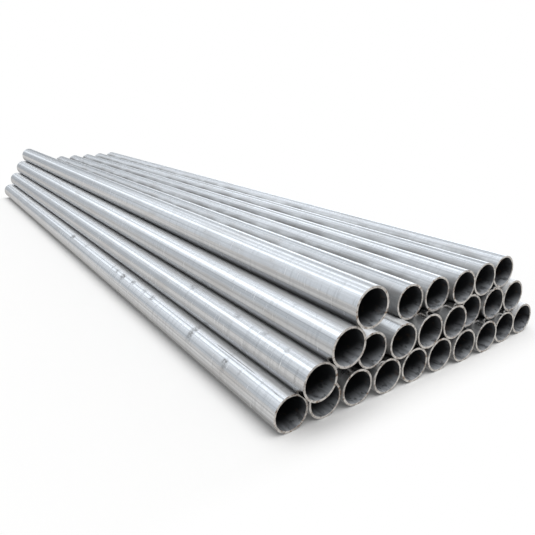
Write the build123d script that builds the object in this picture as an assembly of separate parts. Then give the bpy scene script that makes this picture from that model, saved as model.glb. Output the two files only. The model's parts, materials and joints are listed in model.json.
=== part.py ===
from build123d import *
import math
import os

# A loose stack of round steel tubes, in millimetres.
# X runs across the courses and Y along the tubes, whose ragged sawn ends face -Y. Z is up.
# The origin lies on the floor under the middle of the stack's box.

# Tube stock
tube_outer_diameter = 168.3
tube_wall = 10.0
tube_length = 6000.0
end_edge_break = 1.0

# Room left between two round faces that touch
contact_gap = 0.2

# Courses from the floor up. Each entry is a tube: the groove that it lies in, counted from -X,
# and how far its near end is set back from the flush line. A negative setback stands proud.
course_setbacks = {
    "bottom": {1: 30, 2: 25, 3: 15, 4: 5, 5: 0, 6: -5, 7: -15, 8: -20, 9: -10, 10: -5},
    "second": {1: -45, 2: 100, 3: 20, 4: 0, 5: -5, 6: -10, 7: 30, 8: 15, 9: 15},
    "third": {1: -105, 2: 100, 4: 50, 5: 40, 6: 20, 7: 25, 8: 35},
    "top": {1: -130},
}

# Sizes that follow from the ones above
tube_radius = tube_outer_diameter / 2
bore_radius = tube_radius - tube_wall
pitch = tube_outer_diameter + contact_gap
nest_rise = pitch * math.sin(math.radians(60))
floor_row_middle = (1 + len(course_setbacks["bottom"])) / 2
setbacks = [setback for course in course_setbacks.values() for setback in course.values()]
flush_line_y = -(min(setbacks) + max(setbacks) + tube_length) / 2


def make_tube():
    """One length of tube along +Y from the origin, with the outer edges of its sawn ends broken."""
    with BuildPart() as tube:
        with BuildSketch(Plane.XZ):
            Circle(tube_radius)
            Circle(bore_radius, mode=Mode.SUBTRACT)
        extrude(amount=-tube_length)
        outer_edges = tube.edges().filter_by(GeomType.CIRCLE).group_by(SortBy.RADIUS)[-1]
        chamfer(outer_edges, end_edge_break)
    return tube.part


def seat(course_number, groove, setback):
    """Where a tube lies: each course rests in the grooves of the one below, half a pitch across."""
    across = (groove + course_number / 2 - floor_row_middle) * pitch
    height = tube_radius + course_number * nest_rise
    return Pos(across, flush_line_y + setback, height)


def export_stack():
    """Write each tube of the stack as a solid of its own."""
    os.makedirs("parts", exist_ok=True)
    tube = make_tube()
    for course_number, (course, grooves) in enumerate(course_setbacks.items()):
        for count, (groove, setback) in enumerate(grooves.items(), start=1):
            node = f"{course}_tube_{count:02d}"
            export_step(seat(course_number, groove, setback) * tube, f"parts/{node}.step")


export_stack()
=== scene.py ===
import json
import math

import bpy
import numpy as np
from bpy.props import (FloatProperty, FloatVectorProperty, IntProperty, PointerProperty,
                       StringProperty)
from mathutils import Matrix, Vector


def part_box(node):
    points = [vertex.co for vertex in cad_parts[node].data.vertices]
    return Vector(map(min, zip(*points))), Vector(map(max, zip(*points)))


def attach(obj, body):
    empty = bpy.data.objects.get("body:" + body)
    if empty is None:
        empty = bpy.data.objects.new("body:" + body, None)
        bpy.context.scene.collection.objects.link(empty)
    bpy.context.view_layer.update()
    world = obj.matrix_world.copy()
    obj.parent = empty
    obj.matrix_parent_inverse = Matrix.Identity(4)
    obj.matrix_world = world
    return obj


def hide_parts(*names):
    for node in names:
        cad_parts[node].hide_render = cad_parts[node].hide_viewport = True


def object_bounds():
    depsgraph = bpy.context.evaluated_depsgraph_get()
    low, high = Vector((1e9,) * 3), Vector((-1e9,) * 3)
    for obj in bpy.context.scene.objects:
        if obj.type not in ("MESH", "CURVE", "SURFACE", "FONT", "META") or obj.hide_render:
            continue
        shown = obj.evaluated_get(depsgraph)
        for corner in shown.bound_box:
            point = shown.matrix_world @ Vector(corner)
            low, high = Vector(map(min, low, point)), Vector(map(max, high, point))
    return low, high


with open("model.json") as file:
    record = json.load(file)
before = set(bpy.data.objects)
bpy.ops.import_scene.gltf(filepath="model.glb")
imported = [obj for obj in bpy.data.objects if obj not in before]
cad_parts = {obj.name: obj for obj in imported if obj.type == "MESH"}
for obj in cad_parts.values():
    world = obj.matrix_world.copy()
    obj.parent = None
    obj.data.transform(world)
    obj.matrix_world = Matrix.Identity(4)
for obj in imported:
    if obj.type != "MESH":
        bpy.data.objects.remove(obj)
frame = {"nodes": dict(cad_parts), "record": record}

bl_info = {
    "name": "Tube Stack Dresser",
    "version": (1, 0, 0),
    "blender": (4, 5, 0),
    "location": "View3D > Sidebar > Tube Stack",
    "description": "Dresses a packed stack of steel tubes and sets it on a white studio floor",
    "category": "Object",
}

# Read from the frame, in metres
CAD_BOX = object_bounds()
COURSES = ("bottom", "second", "third", "top")
FIRST_TUBE = "bottom_tube_01"
MILLIMETRE = 0.001
TUBE_BOXES = {name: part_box(name) for name in frame["nodes"]}
FIRST_LOW, FIRST_HIGH = TUBE_BOXES[FIRST_TUBE]
OUTER_DIAMETER = FIRST_HIGH[0] - FIRST_LOW[0]
TUBE_LENGTH = FIRST_HIGH[1] - FIRST_LOW[1]
BORE_DIAMETER = 2 * frame["record"]["mounts"][0]["dims"]["r_mm"] * MILLIMETRE
CONTACT_SLACK = 5 * MILLIMETRE

# Attributes that the tube meshes carry for their materials
PLACE = "stock_place"
NUMBER = "stock_number"
# GUTTER marks where painted shade goes, and LEDGE where a painted sheen goes
GUTTER = "stock_gutter"
LEDGE = "stock_ledge"
BAKE_MAP = "OFBake"

# Shares of the texture map's width: near ring, outer wall, far ring, bore
MAP_SHARES = (0.06, 0.62, 0.06, 0.26)

# Photograph
PICTURE_SIDE = 535
SENSOR_WIDTH = 36.0

# Where tubes of the course above may lie against a tube, in degrees from +X
UPPER_LEFT = 120
UPPER_RIGHT = 60

# Where painted gutter shade and painted ledge sheen begin and are full on a tube's right side, in degrees
# from +X.
# The left side mirrors it.
GUTTER_ANGLES = (72.0, 34.0)
LEDGE_TOP_ANGLES = (112.0, 98.0)
LEDGE_SIDE_ANGLES = (0.0, 30.0)

# Share of the painted shade that a gutter loses where a tube of the course above lies over it
GUTTER_COVER = 0.45

# Grain of the steel: spots to the metre across and along the tube, detail of the noise, and its salt
GRAINS = {
    "broad": (24.0, 0.05, 3.0, 0.0),
    "bands": (48.0, 0.08, 2.0, 19.0),
    "lines": (110.0, 0.25, 2.0, 11.0),
    "hatch": (4.0, 70.0, 2.0, 31.0),
    "mottle": (16.0, 4.0, 3.0, 41.0),
    "scuffs": (22.0, 70.0, 1.0, 53.0),
    "nicks": (14.0, 110.0, 1.0, 61.0),
    "speckles": (95.0, 60.0, 4.0, 3.0),
    "bore_lines": (46.0, 8.0, 4.0, 5.0),
    "bore_spots": (40.0, 24.0, 3.0, 9.0),
    "bore_stains": (60.0, 34.0, 4.0, 21.0),
    "sawn_film": (45.0, 1.0, 3.0, 13.0),
    "sawn_flecks": (95.0, 1.0, 3.0, 17.0),
}

# Saw lines across the ends: spots to the metre along each axis, and detail of the noise
SAW_LINE_SPOTS = (60.0, 1.0, 900.0)
SAW_LINE_DETAIL = 2.0

# How far apart the noise of two tubes lies
GRAIN_APART = 7.3
SAW_LINES_APART = 3.1

# Rub marks: distance from the near end, angle from +X, reach along and round the tube, and darkness
RUB_MARKS = {
    "bottom_tube_01": (
        (0.290, 132.0, 0.010, 14.0, 0.40),
        (0.400, 152.0, 0.018, 16.0, 0.45),
        (0.412, 132.0, 0.026, 13.0, 0.95),
        (0.750, 121.0, 0.032, 48.0, 0.75),
        (1.275, 117.0, 0.030, 18.0, 0.75),
        (1.400, 113.0, 0.032, 16.0, 0.40),
        (1.580, 115.0, 0.036, 17.0, 0.60),
        (1.740, 121.0, 0.046, 20.0, 0.95),
        (1.860, 119.0, 0.034, 16.0, 0.65),
        (1.950, 110.0, 0.020, 22.0, 0.45),
        (2.570, 111.0, 0.034, 22.0, 0.55),
        (2.920, 119.0, 0.056, 20.0, 0.95),
    ),
    "second_tube_01": (
        (0.054, 158.0, 0.008, 30.0, 0.40),
        (0.164, 117.0, 0.020, 11.0, 0.35),
        (0.328, 108.0, 0.024, 12.0, 0.40),
        (0.554, 109.0, 0.036, 14.0, 0.40),
        (1.000, 106.0, 0.044, 18.0, 0.50),
    ),
}

# Scratches on the front tube: angle from +X, and where they begin and end along the tube
SCRATCHES = (
    (105.5, 0.20, 0.56),
    (114.5, 0.01, 0.09),
)

# Share of a reach that counts as on target, and how far two numbers of one tube may differ
NEAR_CORE = 0.3
SAME_NUMBER = 0.6


class RubLook:
    """Shares of a rub mark, which is a speckled spot with a faint arc round the tube, and of a scratch."""

    spot = 0.22
    speckled_spot = 0.63
    speckles_show = (0.40, 0.60)
    arc = 0.32
    arc_reach = 0.3
    scratch = 0.75
    # In degrees round the tube, and in metres along it
    scratch_reach = 1.6
    scratch_taper = 0.05


class WallLook:
    """Outer wall: strength of each coat, and the values of its grain where it begins and is full."""

    # In the order that they are laid: grain, where the coat begins and is full, strength and colour
    coats = (
        ("broad", 0.42, 0.62, 0.40, "wall_deep"),
        ("mottle", 0.50, 0.70, 0.50, "wall_warm"),
        ("bands", 0.50, 0.59, 0.50, "wall_deep"),
        ("lines", 0.54, 0.64, 0.45, "wall_deep"),
    )
    hatch = 0.30
    hatch_shows = (0.50, 0.66)
    hatch_spared = (0.60, 0.46)
    # Painted shade under each tube, darkest at the bottom: heights are in radii above the tube's axis
    film = 0.92
    underside_shade_heights = (0.10, -0.48)
    # Painted sheen: pale colour on a ledge beside a tube of the course above, with streaks
    ledge_sheen = 0.70
    ledge_streaks = 0.20
    ledge_streaks_show = (0.40, 0.60)
    nicks = 0.50
    nicks_show = (0.68, 0.74)
    # Painted shade in the gutters between tubes lying side by side, mottled
    gutter_shading = 0.85
    gutter_shading_even = 0.60
    gutter_shading_shows = (0.35, 0.60)
    scuffs = 0.12
    scuffs_show = (0.67, 0.74)
    sheen_and_nicks_dull = 0.80
    gutter_shading_dulls = 0.50
    smoothest = 0.07
    roughening = {"broad": 0.08, "bands": 0.10, "hatch": 0.12, "wear": 0.35, "sheen_and_nicks": 0.20, "gutter_shading": 0.48}
    relief = {"broad": 0.30, "bands": 0.36, "lines": 0.09, "hatch": 0.01, "wear": -0.05}
    relief_strength = 1.0
    relief_height = 3.0 * MILLIMETRE


class BoreLook:
    """Bore: strength of each coat, and the values of its grain where it begins and is full."""

    coats = (
        ("bore_lines", 0.42, 0.66, 0.45, "bore_scale_and_shade"),
        ("bore_stains", 0.52, 0.62, 0.55, "bore_scale_and_shade"),
        ("bore_spots", 0.58, 0.72, 0.18, "rust"),
    )
    # Painted light on the bottom of the mouths and painted shade deeper in: heights are in radii above the
    # axis, and depths in metres, of which the painted light on the bottom takes off a share
    lit_bottom_heights = (0.0, -0.92)
    lit_bottom_reaches = 0.5
    depths = (-0.02, 0.045)
    specular = 0.15
    smoothest = 0.45
    roughening = {"bore_lines": 0.20}
    relief = {"bore_lines": 0.70, "bore_spots": 0.30}
    relief_strength = 0.4
    relief_height = 1.0 * MILLIMETRE


class SawnLook:
    """Sawn end: strength of each coat, and the values of its grain where it begins and is full."""

    coats = (
        ("sawn_film", 0.40, 0.66, 1.00, "sawn_dull"),
        ("saw_lines", 0.45, 0.70, 0.25, "rub_mark"),
    )
    rust = 0.90
    flecks_show = (0.52, 0.62)
    rusty_film = (0.40, 0.54)
    metallic = 0.35
    smoothest = 0.42
    roughening = {"sawn_film": 0.25}
    relief = {"saw_lines": 1.0, "sawn_flecks": 1.0}
    relief_strength = 0.35
    relief_height = 0.4 * MILLIMETRE


class StudioLook:
    """The studio as the steel mirrors it, by the angle of a ray from +X over the stack, in degrees."""

    # Angles where a shade begins and is full, and the brightness that it takes
    shades = (
        (118.0, 156.0, 0.20),
        (60.0, 20.0, 0.26),
    )
    # Angle of a strip light or a dark gap, its reach, and the brightness that it adds
    strips = (
        (111.0, 14.0, 0.95),
        (97.0, 8.0, -0.20),
        (84.0, 4.5, 0.75),
        (57.0, 7.0, 0.85),
        (40.0, 10.0, -0.15),
        (8.0, 17.0, 1.25),
    )
    # The studio is dimmer beyond the far ends, where a ray runs nearly along +Y, and sooner on the right
    far_dimming = 0.36
    far_runs = (0.92, 0.975)
    right_angles = (78.0, 62.0)
    right_runs = (0.80, 0.95)


class FloorLook:
    """How the floor turns white: weights of the way from the stack, and where it begins and is full."""

    weights = (0.35, 3.5, 0.0)
    fade = (-0.06, 0.6)
    fade_in_steel = 0.75


class TubeStockSettings(bpy.types.PropertyGroup):
    """Sizes of one length of tube"""

    outer_diameter: FloatProperty(
        name="Outer Diameter", description="Outside diameter of the tube",
        default=OUTER_DIAMETER, unit="LENGTH")
    bore_diameter: FloatProperty(
        name="Bore Diameter", description="Inside diameter of the tube",
        default=BORE_DIAMETER, unit="LENGTH")
    edge_radius: FloatProperty(
        name="Edge Radius", description="Rounding of the deburred edges of the sawn ends",
        default=1.0 * MILLIMETRE, unit="LENGTH")
    edge_steps: IntProperty(
        name="Edge Steps", description="Points on the rounding of an edge", default=3, min=1)
    sides: IntProperty(
        name="Sides", description="Flat sides around the tube", default=128, min=24)
    saw_wander: FloatProperty(
        name="Saw Wander", description="How far the saw cut strays along the tube",
        default=0.5 * MILLIMETRE, unit="LENGTH")


class TubeFinishSettings(bpy.types.PropertyGroup):
    """Colours of the steel"""

    wall_pale: FloatVectorProperty(
        name="Pale Wall", description="Brightest streaks of the outer wall",
        default=(0.76, 0.77, 0.78), subtype="COLOR", min=0, max=1)
    wall_deep: FloatVectorProperty(
        name="Deep Wall", description="Duller streaks of the outer wall",
        default=(0.42, 0.43, 0.44), subtype="COLOR", min=0, max=1)
    wall_warm: FloatVectorProperty(
        name="Warm Wall", description="Thin film of oxide on the outer wall",
        default=(0.55, 0.53, 0.51), subtype="COLOR", min=0, max=1)
    # Painted shade: the near black colour under each tube
    underside_shade: FloatVectorProperty(
        name="Underside", description="Oily film on the underside of a tube",
        default=(0.050, 0.052, 0.055), subtype="COLOR", min=0, max=1)
    # Painted sheen on a ledge beside a tube of the course above, and the pale colour of nicks
    wall_sheen_and_nicks: FloatVectorProperty(
        name="Dust", description="Pale dust on a tube where the one above keeps it dry, and in nicks",
        default=(0.90, 0.91, 0.925), subtype="COLOR", min=0, max=1)
    # Painted shade in the gutters between tubes lying side by side
    gutter_shade: FloatVectorProperty(
        name="Gutter Dirt", description="Dirt caught between two tubes that lie side by side",
        default=(0.17, 0.166, 0.16), subtype="COLOR", min=0, max=1)
    rub_mark: FloatVectorProperty(
        name="Rub Mark", description="Dark marks where tubes and slings have rubbed",
        default=(0.10, 0.09, 0.08), subtype="COLOR", min=0, max=1)
    # Painted light on the bottom of the bore's mouths
    bore_lit_bottom: FloatVectorProperty(
        name="Bore Dust", description="Dust on the bottom of the bore near its mouth",
        default=(0.62, 0.65, 0.69), subtype="COLOR", min=0, max=1)
    # Painted shade on the sides and top of the bore's mouths
    bore_shaded_sides: FloatVectorProperty(
        name="Bore Wall", description="Sides and top of the bore near its mouth",
        default=(0.11, 0.116, 0.125), subtype="COLOR", min=0, max=1)
    # Painted shade with dark scale deep in the bore, and the tint of its lines and stains
    bore_scale_and_shade: FloatVectorProperty(
        name="Deep Bore", description="Dull scale deep in the bore",
        default=(0.014, 0.0145, 0.016), subtype="COLOR", min=0, max=1)
    sawn: FloatVectorProperty(
        name="Sawn End", description="Bare sawn end of the wall",
        default=(0.64, 0.61, 0.572), subtype="COLOR", min=0, max=1)
    sawn_dull: FloatVectorProperty(
        name="Dull Sawn End", description="Sawn end under a film of oxide",
        default=(0.384, 0.366, 0.3432), subtype="COLOR", min=0, max=1)
    rust: FloatVectorProperty(
        name="Rust", description="Flecks of rust on the sawn ends and in the bore",
        default=(0.17, 0.095, 0.05), subtype="COLOR", min=0, max=1)


class StackStageSettings(bpy.types.PropertyGroup):
    """Camera, floor and light"""

    camera_place: FloatVectorProperty(
        name="Camera", description="Where the camera stands",
        default=(-1.7914, -4.3449, 1.2863), subtype="TRANSLATION", unit="LENGTH")
    camera_heading: FloatProperty(
        name="Heading", description="Turn of the view from +Y towards +X",
        default=math.radians(33.96), subtype="ANGLE")
    camera_tilt: FloatProperty(
        name="Tilt", description="How far the view looks down",
        default=math.radians(19.10), subtype="ANGLE")
    camera_roll: FloatProperty(
        name="Roll", description="Turn of the camera about its view",
        default=math.radians(-1.19), subtype="ANGLE")
    camera_sight: FloatProperty(
        name="Sight", description="How far the camera sees", default=200.0, unit="LENGTH")
    focal_pixels: FloatProperty(
        name="Focal Length", description="Focal length in pixels of the square picture",
        default=522.5)
    floor_half: FloatProperty(
        name="Floor Reach", description="Half the side of the floor", default=40.0, unit="LENGTH")
    floor_colour: FloatVectorProperty(
        name="Floor", description="Colour of the studio floor",
        default=(0.96, 0.96, 0.955), subtype="COLOR", min=0, max=1)
    ambient: FloatProperty(
        name="Ambient", description="Strength of the even light from all round", default=0.5)
    overhead: FloatProperty(
        name="Overhead", description="Share of white that the overhead light gives the floor",
        default=0.56)
    overhead_spread: FloatProperty(
        name="Overhead Spread", description="Softness of the overhead light",
        default=math.radians(60), subtype="ANGLE")
    overhead_tilt: FloatProperty(
        name="Overhead Tilt", description="Lean of the overhead light towards the near ends",
        default=math.radians(16), subtype="ANGLE")
    steel_sky: FloatVectorProperty(
        name="Sky in Steel", description="Colour of the studio as the steel mirrors it",
        default=(0.95, 1.0, 1.06), subtype="COLOR", min=0, max=2)
    steel_floor: FloatVectorProperty(
        name="Floor in Steel", description="Colour of the floor as the steel mirrors it",
        default=(0.70, 0.686, 0.672), subtype="COLOR", min=0, max=1)


class Term:
    """A shader socket that takes part in sums and products, and makes the other nodes of its tree."""

    def __init__(self, tree, socket=None):
        self.tree = tree
        self.socket = socket

    def make(self, kind, settings=None, sockets=None, output=0):
        """Add a node, set its settings and then its sockets, and return one of its outputs."""
        node = self.tree.nodes.new(kind)
        for name, value in (settings or {}).items():
            setattr(node, name, value)
        feed(node, sockets or {})
        return Term(self.tree, node.outputs[output])

    def math(self, operation, first, second=0.0):
        return self.make("ShaderNodeMath", {"operation": operation}, {0: first, 1: second})

    def vector(self, operation, other=(0.0, 0.0, 0.0), output=0):
        """Vector maths on this vector and another."""
        return self.make("ShaderNodeVectorMath", {"operation": operation}, {0: self, 1: other}, output)

    def part(self, axis):
        """The X, Y or Z of this vector."""
        return self.make("ShaderNodeSeparateXYZ", None, {0: self}, axis)

    def __add__(self, other):
        return self.math("ADD", self, other)

    def __radd__(self, other):
        return self.math("ADD", other, self)

    def __sub__(self, other):
        return self.math("SUBTRACT", self, other)

    def __rsub__(self, other):
        return self.math("SUBTRACT", other, self)

    def __mul__(self, other):
        return self.math("MULTIPLY", self, other)

    def __rmul__(self, other):
        return self.math("MULTIPLY", other, self)

    def step(self, low, high):
        """0 below low, 1 above high and a smooth rise between them, or a fall where low is above high."""
        return self.make("ShaderNodeMapRange", {"interpolation_type": "SMOOTHSTEP"},
                         {"Value": self, "From Min": low, "From Max": high})

    def near(self, target, reach):
        """1 close to the target, falling to 0 at a reach from it."""
        return self.math("ABSOLUTE", self - target).step(reach, NEAR_CORE * reach)

    def blend(self, colour, other):
        """colour where this is 0 and other where it is 1."""
        return self.make("ShaderNodeMix", {"data_type": "RGBA"},
                         {0: self, 6: in_full(colour), 7: in_full(other)}, output=2)


def in_full(colour):
    """A colour with its alpha, or the link that gives one."""
    return colour if isinstance(colour, Term) else (*colour, 1.0)


def feed(node, sockets):
    """Link or set a node's sockets."""
    for key, value in sockets.items():
        if isinstance(value, Term):
            value.tree.links.new(value.socket, node.inputs[key])
        else:
            node.inputs[key].default_value = value


def new_material(name):
    """A new material, its first term and its Principled shader."""
    material = bpy.data.materials.new(name)
    material.use_nodes = True
    tree = material.node_tree
    return material, Term(tree), tree.nodes["Principled BSDF"]


def radians(degrees):
    """Angles in radians."""
    return tuple(math.radians(angle) for angle in degrees)


def tube_number(node):
    """The number that a tube's mesh carries, which sets its grain apart from the others."""
    return 1 + sorted(frame["nodes"]).index(node)


def carried(start, attribute):
    """A value that the tube's mesh carries."""
    return start.make("ShaderNodeAttribute", {"attribute_name": attribute}, output="Fac")


def stock_terms(start):
    """Place on the tube, from the near end of its axis, and the tube's number."""
    place = start.make("ShaderNodeAttribute", {"attribute_name": PLACE}, output="Vector")
    return place, carried(start, NUMBER)


def noise(place, spots, seed, detail):
    """Noise with so many spots to the metre along each axis."""
    return place.make("ShaderNodeTexNoise", {"noise_dimensions": "4D"},
                      {"Vector": place.vector("MULTIPLY", spots), "W": seed, "Scale": 1.0, "Detail": detail})


def grains(place, number, *kinds):
    """Grains of the steel by their kinds, different on each tube."""
    found = {}
    for kind in kinds:
        across, along, detail, salt = GRAINS[kind]
        found[kind] = noise(place, (across, along, across), number * GRAIN_APART + salt, detail)
    return found


def coated(colour, masks, coats, finish):
    """A colour with coats laid over it."""
    for kind, begin, full, strength, tint in coats:
        colour = (strength * masks[kind].step(begin, full)).blend(colour, getattr(finish, tint))
    return colour


def weighed(masks, weights, base=0.0):
    """A base value and the masks, each times its weight."""
    for kind, weight in weights.items():
        base = base + weight * masks[kind]
    return base


def finish_shader(start, shader, look, masks, sockets):
    """Give a shader its roughness and relief, and its other sockets."""
    bump = start.make("ShaderNodeBump", None, {
        "Strength": look.relief_strength, "Distance": look.relief_height,
        "Height": weighed(masks, look.relief)})
    feed(shader, {"Roughness": weighed(masks, look.roughening, look.smoothest), "Normal": bump, **sockets})


def only_on(number, node):
    """1 on one tube of the stack, and 0 on the others."""
    return number.near(tube_number(node), SAME_NUMBER)


def rubbed(place, number):
    """Rub marks and scratches that the photograph shows, from 0 to 1."""
    look = RubLook
    along = place.part("Y")
    turn = place.math("ARCTAN2", place.part("Z"), place.part("X"))
    speckles = grains(place, number, "speckles")["speckles"].step(*look.speckles_show)
    wear = 0.0
    for node, marks in RUB_MARKS.items():
        here = only_on(number, node)
        for distance, angle, along_reach, round_reach, darkness in marks:
            angle, round_reach = radians((angle, round_reach))
            arc = look.arc * along.near(distance, look.arc_reach * along_reach) * speckles
            spot = along.near(distance, along_reach) * turn.near(angle, round_reach)
            spot = spot * (look.spot + look.speckled_spot * speckles)
            wear = place.math("MAXIMUM", wear, darkness * here * place.math("MAXIMUM", arc, spot))
    here = only_on(number, FIRST_TUBE)
    for angle, begin, end in SCRATCHES:
        line = turn.near(*radians((angle, look.scratch_reach)))
        reach = along.step(begin, begin + look.scratch_taper) * along.step(end, end - look.scratch_taper)
        wear = place.math("MAXIMUM", wear, look.scratch * line * reach * here)
    return wear


def wall_steel(name, finish):
    """Bright drawn steel: streaks, draw lines and a faint cross hatch, under painted shade and sheen, nicks,
    scuffs and rub marks.
    """
    look = WallLook
    material, start, shader = new_material(name)
    place, number = stock_terms(start)
    masks = grains(place, number, "broad", "bands", "lines", "hatch", "mottle", "scuffs", "nicks")
    colour = coated(finish.wall_pale, masks, look.coats, finish)
    hatched = masks["hatch"].step(*look.hatch_shows) * masks["mottle"].step(*look.hatch_spared)
    colour = (look.hatch * hatched).blend(colour, finish.wall_deep)
    up = place.part("Z") * (2 / OUTER_DIAMETER)
    # Painted shade: each tube darker towards its bottom, nearly black under it
    colour = (look.film * up.step(*look.underside_shade_heights)).blend(colour, finish.underside_shade)

    # Painted sheen on the ledges, painted shade in the gutters, and nicks, scuffs and rub marks over the
    # bare steel
    streaked = look.ledge_sheen + look.ledge_streaks * masks["lines"].step(*look.ledge_streaks_show)
    nicked = look.nicks * masks["nicks"].step(*look.nicks_show)
    masks["sheen_and_nicks"] = start.math("MAXIMUM", carried(start, LEDGE) * streaked, nicked)
    mottled = look.gutter_shading_even + (1.0 - look.gutter_shading_even) * masks["mottle"].step(*look.gutter_shading_shows)
    masks["gutter_shading"] = look.gutter_shading * carried(start, GUTTER) * mottled
    scuffed = look.scuffs * masks["scuffs"].step(*look.scuffs_show)
    masks["wear"] = start.math("MAXIMUM", rubbed(place, number), scuffed)
    colour = masks["sheen_and_nicks"].blend(colour, finish.wall_sheen_and_nicks)
    colour = masks["gutter_shading"].blend(colour, finish.gutter_shade)
    colour = masks["wear"].blend(colour, finish.rub_mark)
    metallic = 1.0 - look.sheen_and_nicks_dull * masks["sheen_and_nicks"] - look.gutter_shading_dulls * masks["gutter_shading"]
    finish_shader(start, shader, look, masks, {"Base Color": colour, "Metallic": metallic})
    return material


def bore_steel(name, finish):
    """Dull bore: painted light on the bottom of its mouths, painted shade on their sides and top, painted
    shade with dark scale deep inside, and faint lines, stains and rust.
    """
    look = BoreLook
    material, start, shader = new_material(name)
    place, number = stock_terms(start)
    masks = grains(place, number, "bore_lines", "bore_spots", "bore_stains")
    along = place.part("Y")
    up = place.part("Z") * (2 / BORE_DIAMETER)
    # Painted light: paler on the bottom of each mouth, darker on its sides and top, and painted shade deeper
    # in, reaching less far along the bottom
    lit_bottom = up.step(*look.lit_bottom_heights)
    depth = start.math("MINIMUM", along, TUBE_LENGTH - along) * (1.0 - look.lit_bottom_reaches * lit_bottom)
    mouth = lit_bottom.blend(finish.bore_shaded_sides, finish.bore_lit_bottom)
    colour = coated(depth.step(*look.depths).blend(mouth, finish.bore_scale_and_shade), masks, look.coats, finish)
    finish_shader(start, shader, look, masks, {"Base Color": colour, "Specular IOR Level": look.specular})
    return material


def sawn_steel(name, finish):
    """Sawn end: parallel saw lines, a dull film and flecks of rust."""
    look = SawnLook
    material, start, shader = new_material(name)
    place, number = stock_terms(start)
    masks = grains(place, number, "sawn_film", "sawn_flecks")
    masks["saw_lines"] = noise(place, SAW_LINE_SPOTS, number * SAW_LINES_APART, SAW_LINE_DETAIL)
    colour = coated(finish.sawn, masks, look.coats, finish)
    rusty = masks["sawn_flecks"].step(*look.flecks_show) * masks["sawn_film"].step(*look.rusty_film)
    colour = (look.rust * rusty).blend(colour, finish.rust)
    finish_shader(start, shader, look, masks, {"Base Color": colour, "Metallic": look.metallic})
    return material


# Finishes of a tube: the tree's input, the material's name and what makes it
FINISHES = (
    ("Wall", "tube_wall", wall_steel),
    ("Bore", "tube_bore", bore_steel),
    ("Sawn End", "tube_sawn_end", sawn_steel),
)


def tube_finishes(finish):
    """The materials of a tube by the tree's inputs, each made once."""
    return {label: bpy.data.materials.get(name) or maker(name, finish) for label, name, maker in FINISHES}


TREE_NAME = "Length of Tube"
TUBE_INPUTS = (
    ("Outer Radius", "NodeSocketFloat"),
    ("Bore Radius", "NodeSocketFloat"),
    ("Length", "NodeSocketFloat"),
    ("Edge Radius", "NodeSocketFloat"),
    ("Edge Steps", "NodeSocketInt"),
    ("Sides", "NodeSocketInt"),
    ("Saw Wander", "NodeSocketFloat"),
    ("Seat", "NodeSocketVector"),
    ("Number", "NodeSocketFloat"),
    ("Left Gutter", "NodeSocketFloat"),
    ("Right Gutter", "NodeSocketFloat"),
    ("Left Ledge", "NodeSocketFloat"),
    ("Right Ledge", "NodeSocketFloat"),
    ("Wall", "NodeSocketMaterial"),
    ("Bore", "NodeSocketMaterial"),
    ("Sawn End", "NodeSocketMaterial"),
)

# A face belongs to a sawn end where this share of its normal lies along the tube
END_FACING = 0.6
# Points within this many edge radii of an end move with the saw cut, which bends so many times to the metre
SAW_REACH = 1.5
SAW_BENDS = 14.0
SAW_DETAIL = 1.0
# Edges that bend more than this stay crisp
CRISP_BEND = math.radians(12)


class TreeNode:
    """A node of a geometry tree: its outputs feed later nodes by name."""

    def __init__(self, tree, kind, settings=None, inputs=None):
        self.node = tree.nodes.new(kind)
        for name, value in (settings or {}).items():
            setattr(self.node, name, value)
        for key, value in (inputs or {}).items():
            if isinstance(value, bpy.types.NodeSocket):
                tree.links.new(value, self.node.inputs[key])
            else:
                self.node.inputs[key].default_value = value

    def __getitem__(self, output):
        return self.node.outputs[output]


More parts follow.
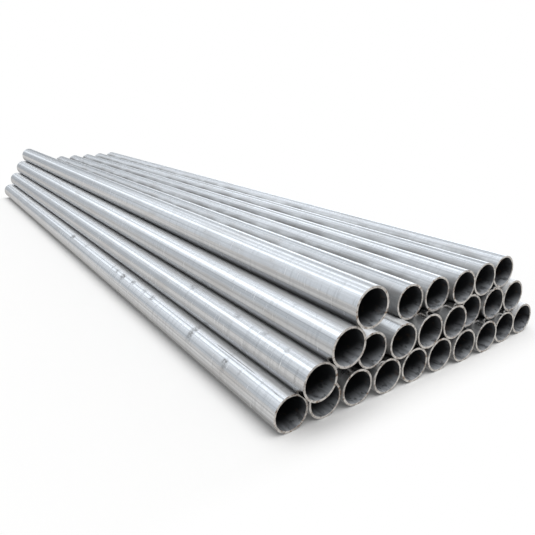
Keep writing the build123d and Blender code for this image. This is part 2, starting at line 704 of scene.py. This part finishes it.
def tube_tree():
    """Geometry nodes that sweep the wall's section round the tube's axis, and seat it in the stack."""
    tree = bpy.data.node_groups.get(TREE_NAME)
    if tree:
        return tree
    tree = bpy.data.node_groups.new(TREE_NAME, "GeometryNodeTree")
    tree.interface.new_socket("Geometry", in_out="INPUT", socket_type="NodeSocketGeometry")
    for name, kind in TUBE_INPUTS:
        tree.interface.new_socket(name, in_out="INPUT", socket_type=kind)
    tree.interface.new_socket("Geometry", in_out="OUTPUT", socket_type="NodeSocketGeometry")
    given = TreeNode(tree, "NodeGroupInput")

    def maths(operation, first, second=0.0):
        return TreeNode(tree, "ShaderNodeMath", {"operation": operation}, {0: first, 1: second})[0]

    def parts(vector):
        return TreeNode(tree, "ShaderNodeSeparateXYZ", None, {0: vector})

    def flattened(vector):
        return TreeNode(tree, "ShaderNodeVectorMath", {"operation": "MULTIPLY"},
                        {0: vector, 1: (1.0, 0.0, 1.0)})[0]

    def rise(value, angles):
        low, high = radians(angles)
        return TreeNode(tree, "ShaderNodeMapRange", {"interpolation_type": "SMOOTHSTEP"},
                        {"Value": value, "From Min": low, "From Max": high})[0]

    def stored(geometry, name, value, kind="FLOAT"):
        return TreeNode(tree, "GeometryNodeStoreNamedAttribute", {"data_type": kind, "domain": "POINT"},
                        {"Geometry": geometry, "Name": name, "Value": value})["Geometry"]

    def painted(geometry, label, chosen=True):
        return TreeNode(tree, "GeometryNodeSetMaterial", None,
                        {"Geometry": geometry, "Material": given[label], "Selection": chosen})["Geometry"]

    # The wall's section, rounded at its four corners, swept round a circle at mid wall
    wall = maths("SUBTRACT", given["Outer Radius"], given["Bore Radius"])
    middle = maths("MULTIPLY", maths("ADD", given["Outer Radius"], given["Bore Radius"]), 0.5)
    section = TreeNode(tree, "GeometryNodeCurvePrimitiveQuadrilateral", {"mode": "RECTANGLE"},
                       {"Width": wall, "Height": given["Length"]})
    rounded = TreeNode(tree, "GeometryNodeFilletCurve", {"mode": "POLY"},
                       {"Curve": section["Curve"], "Count": given["Edge Steps"],
                        "Radius": given["Edge Radius"], "Limit Radius": True})
    circle = TreeNode(tree, "GeometryNodeCurvePrimitiveCircle", {"mode": "RADIUS"},
                      {"Resolution": given["Sides"], "Radius": middle})
    upright = TreeNode(tree, "GeometryNodeSetCurveNormal", {"mode": "Z_UP"}, {"Curve": circle["Curve"]})
    swept = TreeNode(tree, "GeometryNodeCurveToMesh", None,
                     {"Curve": upright["Curve"], "Profile Curve": rounded["Curve"]})

    # Laid along +Y with its near end at the origin
    half = maths("MULTIPLY", given["Length"], 0.5)
    laid = TreeNode(tree, "GeometryNodeTransform", None,
                    {"Geometry": swept["Mesh"], "Rotation": (math.radians(90), 0.0, 0.0),
                     "Translation": TreeNode(tree, "ShaderNodeCombineXYZ", None, {"Y": half})[0]})
    place = TreeNode(tree, "GeometryNodeInputPosition")["Position"]
    along = parts(place)["Y"]
    kept = stored(laid["Geometry"], PLACE, place, "FLOAT_VECTOR")
    numbered = stored(kept, NUMBER, given["Number"])

    # Gutters beside the next tube of the course, for painted shade, and ledges under a tube of the course
    # above, for a painted sheen
    turn = maths("ARCTAN2", parts(place)["Z"], parts(place)["X"])
    mirrored_turn = maths("SUBTRACT", math.pi, turn)
    lean = maths("ABSOLUTE", turn)
    mirrored_lean = maths("SUBTRACT", math.pi, lean)

    def gutter(leaning, side):
        return maths("MULTIPLY", rise(leaning, GUTTER_ANGLES), given[side + " Gutter"])

    def ledge(turned, side):
        # The ledge beside a tube of the course above, where a painted sheen goes
        sheltered = maths("MULTIPLY", rise(turned, LEDGE_TOP_ANGLES), rise(turned, LEDGE_SIDE_ANGLES))
        return maths("MULTIPLY", sheltered, given[side + " Ledge"])

    gutters = maths("MAXIMUM", gutter(mirrored_lean, "Left"), gutter(lean, "Right"))
    ledges = maths("MAXIMUM", ledge(mirrored_turn, "Left"), ledge(turn, "Right"))
    shade_and_sheen_marked = stored(stored(numbered, GUTTER, gutters), LEDGE, ledges)

    # The saw strays a little along the tube, so each end is not quite flat
    stray = TreeNode(tree, "ShaderNodeTexNoise", {"noise_dimensions": "4D"},
                     {"Vector": flattened(place), "W": given["Number"], "Scale": SAW_BENDS,
                      "Detail": SAW_DETAIL})[0]
    from_far_end = maths("ABSOLUTE", maths("SUBTRACT", along, given["Length"]))
    from_end = maths("MINIMUM", maths("ABSOLUTE", along), from_far_end)
    at_end = maths("LESS_THAN", from_end, maths("MULTIPLY", given["Edge Radius"], SAW_REACH))
    inwards = maths("SIGN", maths("SUBTRACT", half, along))
    strayed = maths("MULTIPLY", maths("MULTIPLY", stray, given["Saw Wander"]), inwards)
    sawn = TreeNode(tree, "GeometryNodeSetPosition", None,
                    {"Geometry": shade_and_sheen_marked, "Selection": at_end,
                     "Offset": TreeNode(tree, "ShaderNodeCombineXYZ", None, {"Y": strayed})[0]})

    # Smooth round the tube, crisp along the edges of its ends
    bend = TreeNode(tree, "GeometryNodeInputMeshEdgeAngle")["Unsigned Angle"]
    smooth = TreeNode(tree, "GeometryNodeSetShadeSmooth", {"domain": "FACE"},
                      {"Geometry": sawn["Geometry"], "Shade Smooth": True})
    crisp = TreeNode(tree, "GeometryNodeSetShadeSmooth", {"domain": "EDGE"},
                     {"Geometry": smooth["Geometry"],
                      "Selection": maths("GREATER_THAN", bend, CRISP_BEND), "Shade Smooth": False})

    # Seated in the stack, and given its three finishes
    seated = TreeNode(tree, "GeometryNodeTransform", None,
                      {"Geometry": crisp["Geometry"], "Translation": given["Seat"]})
    plain = TreeNode(tree, "GeometryNodeRealizeInstances", None, {"Geometry": seated["Geometry"]})
    stored_place = TreeNode(tree, "GeometryNodeInputNamedAttribute", {"data_type": "FLOAT_VECTOR"},
                            {"Name": PLACE})["Attribute"]
    from_axis = TreeNode(tree, "ShaderNodeVectorMath", {"operation": "LENGTH"},
                         {0: flattened(stored_place)})["Value"]
    facing = parts(TreeNode(tree, "GeometryNodeInputNormal")["Normal"])["Y"]
    is_bore = maths("LESS_THAN", from_axis, middle)
    is_end = maths("GREATER_THAN", maths("ABSOLUTE", facing), END_FACING)
    bored = painted(painted(plain["Geometry"], "Wall"), "Bore", is_bore)
    TreeNode(tree, "NodeGroupOutput", None, {"Geometry": painted(bored, "Sawn End", is_end)})
    return tree


def grown(name, tree, values):
    """A plain mesh object of what the tree makes with these inputs."""
    carrier = bpy.data.objects.new(name, bpy.data.meshes.new(name))
    bpy.context.scene.collection.objects.link(carrier)
    modifier = carrier.modifiers.new(TREE_NAME, "NODES")
    modifier.node_group = tree
    for item in tree.interface.items_tree:
        if item.in_out == "INPUT" and item.name in values:
            modifier[item.identifier] = values[item.name]
    depsgraph = bpy.context.evaluated_depsgraph_get()
    mesh = bpy.data.meshes.new_from_object(carrier.evaluated_get(depsgraph), depsgraph=depsgraph)
    carrier.modifiers.remove(modifier)
    blank = carrier.data
    carrier.data = mesh
    bpy.data.meshes.remove(blank)
    mesh.name = name
    return carrier


def unroll(mesh, seat, length, stock):
    """Give a tube one flat map: near ring, outer wall, far ring and bore side by side."""
    count = len(mesh.loops)
    corner = np.empty(count, np.int32)
    mesh.loops.foreach_get("vertex_index", corner)
    place = np.empty(3 * len(mesh.vertices))
    mesh.vertices.foreach_get("co", place)
    place = place.reshape(-1, 3) - np.array(seat)
    sides = np.empty(len(mesh.polygons), np.int32)
    mesh.polygons.foreach_get("loop_total", sides)
    face = np.repeat(np.arange(len(sides)), sides)
    corners = place[corner]
    centre = np.stack([np.bincount(face, corners[:, axis]) for axis in range(3)], 1) / sides[:, None]

    # Across the map, by the zone that a face lies in
    outer, bore, edge = stock.outer_diameter / 2, stock.bore_diameter / 2, stock.edge_radius
    face_radius = np.hypot(centre[:, 0], centre[:, 2])[face]
    face_along = centre[:, 1][face]
    through = np.clip((np.hypot(corners[:, 0], corners[:, 2]) - bore) / (outer - bore), 0, 1)
    run = np.clip((corners[:, 1] - edge) / (length - 2 * edge), 0, 1)
    near_ring = face_along < edge
    far_ring = face_along > length - edge
    outside = face_radius > (outer + bore) / 2
    zones = (
        (near_ring, through),
        (~near_ring & ~far_ring & outside, run),
        (far_ring, 1 - through),
        (~near_ring & ~far_ring & ~outside, 1 - run),
    )
    starts = np.concatenate([[0], np.cumsum(MAP_SHARES)])
    across = np.zeros(count)
    for (chosen, way), begin, share in zip(zones, starts, MAP_SHARES):
        across[chosen] = (begin + share * way)[chosen]

    # Up the map, by the turn round the tube, with the corners of a face kept together at the seam
    turn = np.arctan2(corners[:, 2], corners[:, 0]) / (2 * math.pi)
    face_turn = (np.arctan2(centre[:, 2], centre[:, 0]) / (2 * math.pi))[face]
    around = face_turn + (turn - face_turn + 0.5) % 1.0
    flat = np.stack([across, around], 1).astype(np.float32)
    mesh.uv_layers.new(name=BAKE_MAP).uv.foreach_set("vector", flat.ravel())


def course_nodes(course):
    """The names of a course's tubes, from -X."""
    return sorted(name for name in frame["nodes"] if name.startswith(course + "_tube_"))


def touches(name, degrees):
    """1.0 where another tube lies against this one at an angle from +X, and 0.0 where none does."""
    low, high = TUBE_BOXES[name]
    pitch = high[0] - low[0]
    beside = low[0] + pitch * math.cos(math.radians(degrees))
    above = low[2] + pitch * math.sin(math.radians(degrees))
    gaps = [math.hypot(corner[0] - beside, corner[2] - above) for corner, _ in TUBE_BOXES.values()]
    return float(min(gaps) < CONTACT_SLACK)


class TUBESTACK_OT_lay_course(bpy.types.Operator):
    """Dress every tube of one course of the stack"""

    bl_idname = "tube_stack.lay_course"
    bl_label = "Lay Course"

    course: StringProperty(name="Course", description="Which course of the stack", default="bottom")

    def execute(self, context):
        stock = context.scene.tube_stock
        names = course_nodes(self.course)
        if not names:
            raise RuntimeError(f"the frame has no tubes in the {self.course} course")
        materials = tube_finishes(context.scene.tube_finish)
        for name in names:
            low, high = TUBE_BOXES[name]
            length = high[1] - low[1]
            seat = ((low[0] + high[0]) / 2, low[1], (low[2] + high[2]) / 2)
            left_over, right_over = touches(name, UPPER_LEFT), touches(name, UPPER_RIGHT)
            piece = grown(name + "_steel", tube_tree(), {
                "Outer Radius": stock.outer_diameter / 2,
                "Bore Radius": stock.bore_diameter / 2,
                "Length": length,
                "Edge Radius": stock.edge_radius,
                "Edge Steps": stock.edge_steps,
                "Sides": stock.sides,
                "Saw Wander": stock.saw_wander,
                "Seat": seat,
                "Number": float(tube_number(name)),
                # Painted gutter shade, less where a tube of the course above lies over it, and a painted
                # sheen on a ledge under one tube above
                "Left Gutter": float(name != names[0]) * (1.0 - GUTTER_COVER * left_over),
                "Right Gutter": float(name != names[-1]) * (1.0 - GUTTER_COVER * right_over),
                "Left Ledge": left_over * (1.0 - right_over),
                "Right Ledge": right_over * (1.0 - left_over),
                **materials,
            })
            unroll(piece.data, seat, length, stock)
            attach(piece, "root")
            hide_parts(name)
        return {"FINISHED"}


def ray_kind(start, *kinds):
    """1 for rays of these kinds, and 0 for others."""
    chosen = start.make("ShaderNodeLightPath", output=kinds[0])
    for kind in kinds[1:]:
        chosen = start.math("MAXIMUM", chosen, start.make("ShaderNodeLightPath", output=kind))
    return chosen


def light_world(stage):
    """White where seen, an even light on all things, and in the steel a studio of strips and shades."""
    look = StudioLook
    world = bpy.data.worlds.new("studio")
    world.use_nodes = True
    bpy.context.scene.world = world
    start = Term(world.node_tree)
    ray = start.make("ShaderNodeTexCoord", output="Generated")
    turn = start.math("ARCTAN2", ray.part("Z"), ray.part("X"))
    bright = 1.0
    for begin, full, loss in look.shades:
        bright = bright - loss * turn.step(*radians((begin, full)))
    for angle, reach, gain in look.strips:
        bright = bright + gain * turn.near(*radians((angle, reach)))
    run = ray.part("Y")
    bright = bright * (1.0 - look.far_dimming * run.step(*look.far_runs))
    on_right = turn.step(*radians(look.right_angles))
    bright = bright * (1.0 - look.far_dimming * on_right * run.step(*look.right_runs))
    in_steel = ray_kind(start, "Is Glossy Ray")
    colour = in_steel.blend((1.0, 1.0, 1.0), stage.steel_sky)
    seen = ray_kind(start, "Is Camera Ray", "Is Transmission Ray")
    lit = stage.ambient + (1.0 - stage.ambient) * seen
    feed(world.node_tree.nodes["Background"],
         {"Color": colour, "Strength": lit + in_steel * (bright - lit)})


def lay_floor(stage):
    """A pale floor that fades to the white of the studio away from the stack."""
    look = FloorLook
    half = stage.floor_half
    mesh = bpy.data.meshes.new("studio_floor")
    mesh.from_pydata([(-half, -half, 0), (half, -half, 0), (half, half, 0), (-half, half, 0)],
                     [], [(0, 1, 2, 3)])
    floor = bpy.data.objects.new("studio_floor", mesh)
    bpy.context.scene.collection.objects.link(floor)
    material, start, shader = new_material("studio_floor")
    feed(shader, {"Base Color": in_full(stage.floor_colour), "Roughness": 1.0, "Specular IOR Level": 0.0})

    # How far a point of the floor lies outside the bottom course
    near_end = min(TUBE_BOXES[name][0][1] for name in course_nodes(COURSES[0]))
    footprint = (CAD_BOX[1][0], -near_end, 0.0)
    place = start.make("ShaderNodeTexCoord", output="Object")
    outside = place.vector("ABSOLUTE").vector("SUBTRACT", footprint).vector("MAXIMUM")
    from_stack = outside.vector("MULTIPLY", look.weights).vector("LENGTH", output="Value")

    # Lit and shaded near the stack, plain white away from it
    in_steel = ray_kind(start, "Is Glossy Ray")
    seen = ray_kind(start, "Is Camera Ray", "Is Transmission Ray", "Is Glossy Ray")
    fade = start.math("MAXIMUM", from_stack.step(*look.fade), look.fade_in_steel * in_steel) * seen
    white = start.make("ShaderNodeEmission", None, {
        "Color": in_steel.blend((1.0, 1.0, 1.0), stage.steel_floor), "Strength": 1.0})
    tree = material.node_tree
    mixed = start.make("ShaderNodeMixShader", None,
                       {0: fade, 1: Term(tree, shader.outputs[0]), 2: white})
    feed(tree.nodes["Material Output"], {"Surface": mixed})
    mesh.materials.append(material)


def hang_light(stage):
    """One very soft light from overhead, for the shadow on the floor."""
    light = bpy.data.lights.new("overhead", "SUN")
    light.energy = stage.overhead * math.pi
    light.angle = stage.overhead_spread
    lamp = bpy.data.objects.new("overhead", light)
    lamp.rotation_euler = (stage.overhead_tilt, 0.0, 0.0)
    lamp.visible_glossy = False
    bpy.context.scene.collection.objects.link(lamp)


def stand_camera(stage):
    """The camera at the photograph's viewing angle."""
    camera = bpy.data.cameras.new("camera")
    camera.sensor_width = SENSOR_WIDTH
    camera.lens = SENSOR_WIDTH * stage.focal_pixels / PICTURE_SIDE
    camera.clip_end = stage.camera_sight
    stand = bpy.data.objects.new("camera", camera)
    heading, tilt, roll = stage.camera_heading, stage.camera_tilt, stage.camera_roll
    forward = Vector((math.sin(heading) * math.cos(tilt), math.cos(heading) * math.cos(tilt),
                      -math.sin(tilt)))
    right = Vector((math.cos(heading), -math.sin(heading), 0.0))
    up = right.cross(forward)
    rolled_right = right * math.cos(roll) + up * math.sin(roll)
    rolled_up = up * math.cos(roll) - right * math.sin(roll)
    turn = Matrix((rolled_right, rolled_up, -forward)).transposed().to_4x4()
    stand.matrix_world = Matrix.Translation(stage.camera_place) @ turn
    bpy.context.scene.collection.objects.link(stand)
    bpy.context.scene.camera = stand


class TUBESTACK_OT_set_stage(bpy.types.Operator):
    """Set the camera, the white floor and the soft studio light"""

    bl_idname = "tube_stack.set_stage"
    bl_label = "Set Stage"

    def execute(self, context):
        stage = context.scene.stack_stage
        light_world(stage)
        lay_floor(stage)
        hang_light(stage)
        stand_camera(stage)
        context.scene.view_settings.view_transform = "Standard"
        return {"FINISHED"}


class TUBESTACK_PT_panel(bpy.types.Panel):
    """Sidebar panel with the stack's settings and steps"""

    bl_idname = "TUBESTACK_PT_panel"
    bl_label = "Tube Stack"
    bl_space_type = "VIEW_3D"
    bl_region_type = "UI"
    bl_category = "Tube Stack"

    def draw(self, context):
        for group in (context.scene.tube_stock, context.scene.tube_finish, context.scene.stack_stage):
            for name in group.bl_rna.properties.keys():
                if name not in ("rna_type", "name"):
                    self.layout.prop(group, name)
        for course in COURSES:
            step = self.layout.operator("tube_stack.lay_course", text=f"Lay {course} course")
            step.course = course
        self.layout.operator("tube_stack.set_stage")


CLASSES = (
    TubeStockSettings,
    TubeFinishSettings,
    StackStageSettings,
    TUBESTACK_OT_lay_course,
    TUBESTACK_OT_set_stage,
    TUBESTACK_PT_panel,
)


def register():
    for item in CLASSES:
        bpy.utils.register_class(item)
    bpy.types.Scene.tube_stock = PointerProperty(type=TubeStockSettings)
    bpy.types.Scene.tube_finish = PointerProperty(type=TubeFinishSettings)
    bpy.types.Scene.stack_stage = PointerProperty(type=StackStageSettings)


def unregister():
    del bpy.types.Scene.stack_stage
    del bpy.types.Scene.tube_finish
    del bpy.types.Scene.tube_stock
    for item in reversed(CLASSES):
        bpy.utils.unregister_class(item)


def main():
    register()
    for course in COURSES:
        bpy.ops.tube_stack.lay_course(course=course)
    bpy.ops.tube_stack.set_stage()


if __name__ == "__main__":
    main()
